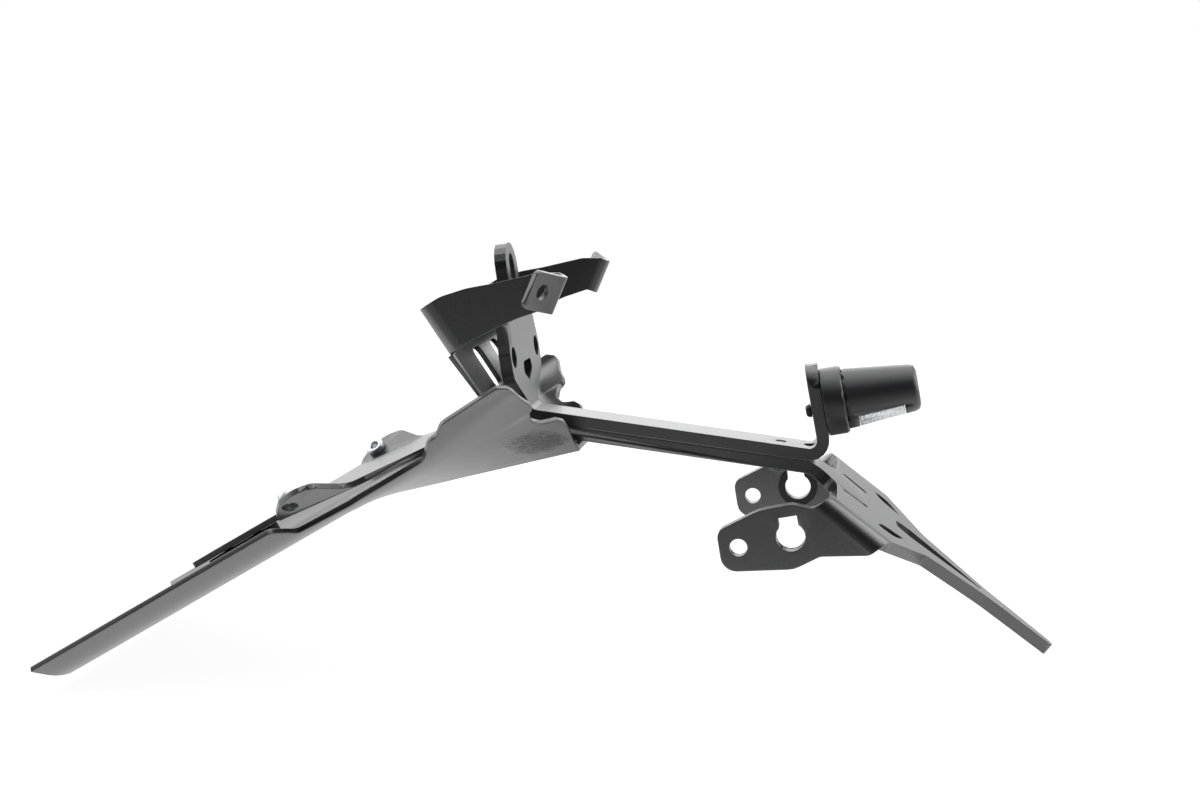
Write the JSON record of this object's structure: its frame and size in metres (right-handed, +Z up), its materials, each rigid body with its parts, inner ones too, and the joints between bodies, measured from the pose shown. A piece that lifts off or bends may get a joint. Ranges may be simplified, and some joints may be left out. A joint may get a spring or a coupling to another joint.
{
  "type": "licence plate holder",
  "caption": "Black folded-metal licence plate holder for a motorbike: undertray, brackets with slotted and looped mounts, indicator ears, plate backing and a small lamp.",
  "frame": {"origin": "centre of the holder's box, on the surface it stands on", "axes": "+X towards the tip of the plate backing, the undertray's front lip at -X; +Y across the holder; +Z up as it stands on the undertray's front lip and the plate's tip"},
  "size_m": [0.4006, 0.1418, 0.1696],
  "materials": {
    "black_powder_coat": "satin, fine grain",
    "rubber": "matt",
    "aluminium": "plain",
    "zinc": "zinc plated",
    "black_steel": "blackened",
    "lamp_moulding": "semi gloss",
    "clear_lens": "clear",
    "board": "matt",
    "diode": "clear"
  },
  "bodies": {
    "root": {"undertray": "black_powder_coat", "upper_arm": "black_powder_coat", "plate_holder": "black_powder_coat", "upper_bracket": "black_powder_coat", "ear_bracket": "black_powder_coat", "tongue_block": "rubber", "lamp_gasket": "rubber", "arm_wedge": "aluminium", "clinch_nut_near": "zinc", "clinch_nut_far": "zinc", "lamp_screw": "black_steel", "indicator_washer_near": "rubber", "indicator_washer_far": "rubber", "arm_screw_rear": "black_steel", "arm_screw_front": "black_steel", "wedge_screw_front": "black_steel", "wedge_screw_rear": "black_steel", "tongue_screw_rear": "black_steel", "tongue_screw_front": "black_steel", "lamp_housing": "lamp_moulding", "lamp_lens": "clear_lens", "lamp_board": "board", "lamp_led_1": "diode", "lamp_led_2": "diode", "lamp_led_3": "diode"}
  },
  "joints": []
}
